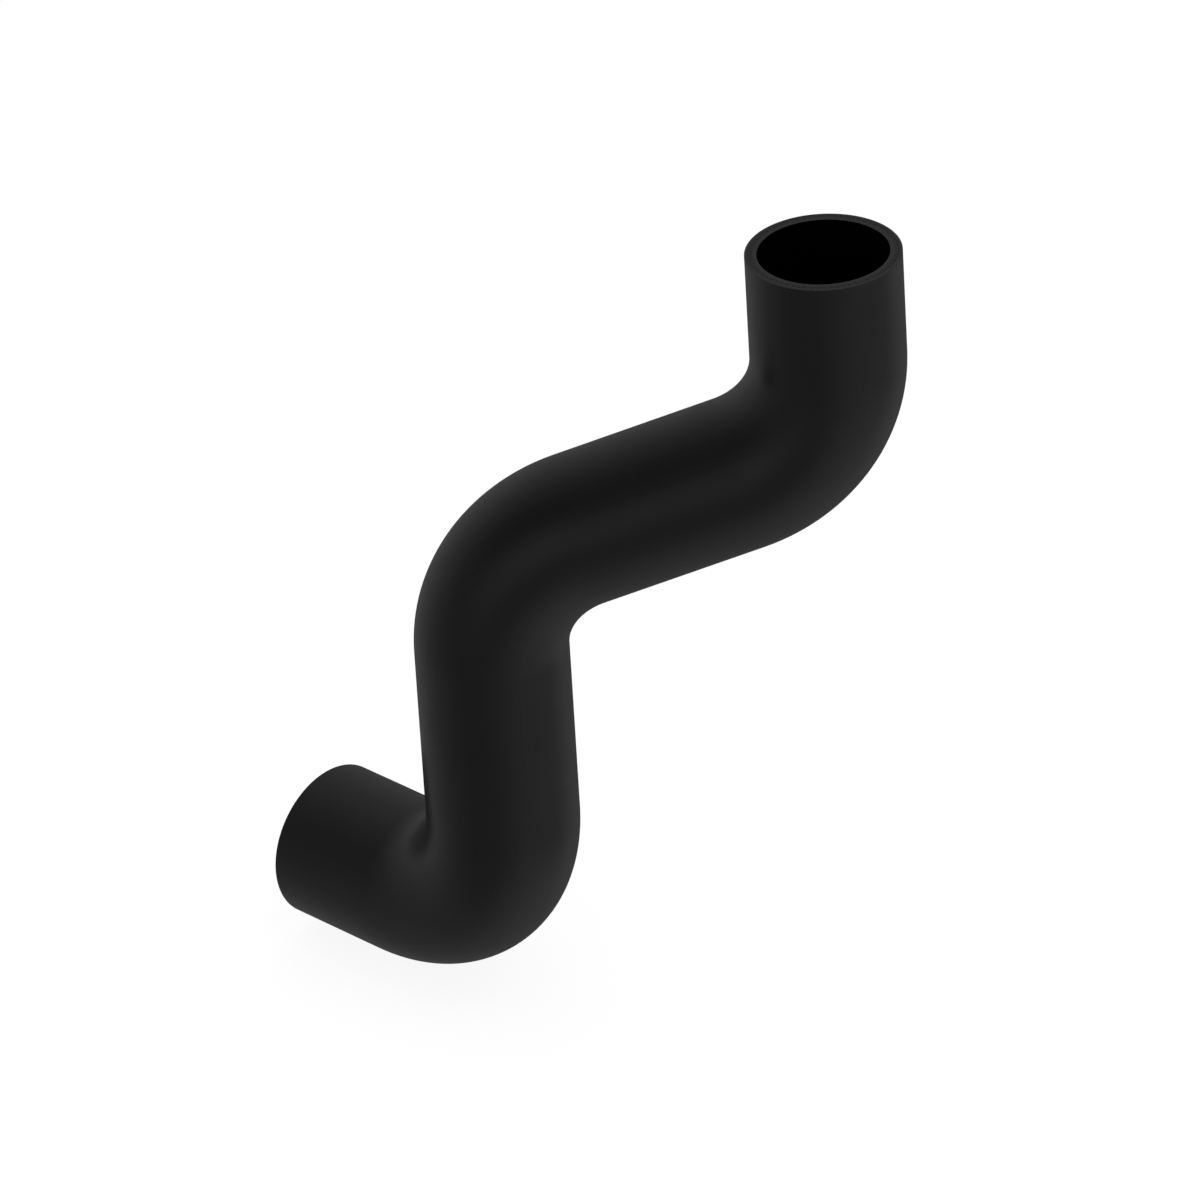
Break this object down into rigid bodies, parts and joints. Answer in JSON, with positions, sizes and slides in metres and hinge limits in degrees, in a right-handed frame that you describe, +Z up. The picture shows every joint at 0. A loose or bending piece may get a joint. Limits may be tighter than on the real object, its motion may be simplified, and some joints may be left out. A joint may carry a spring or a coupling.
{
  "type": "moulded waste hose",
  "caption": "Moulded rubber waste hose: vertical inlet cuff, sloping offset leg, vertical drop and a level outlet cuff stretched for a wider pipe.",
  "frame": {"origin": "centre of the inlet mouth, on the plane of its cut face", "axes": "+Z up, out of the inlet mouth along the inlet cuff; +Y out of the outlet mouth along the outlet cuff; the sloping leg leaves towards -X and +Y"},
  "size_m": [0.1175, 0.1682, 0.2411],
  "materials": {
    "inner_tube_rubber": "smooth mandrel-cured EPDM, near black, satin",
    "yarn": "dark dipped polyester yarn set in rubber, matt",
    "tie_rubber": "soft black friction rubber, matt",
    "cover_rubber": "black EPDM, satin matt with faint extrusion lines"
  },
  "bodies": {
    "root": {"inner_tube": "inner_tube_rubber", "inner_yarn_ply": "yarn", "tie_layer": "tie_rubber", "outer_yarn_ply": "yarn", "cover": "cover_rubber"}
  },
  "joints": []
}
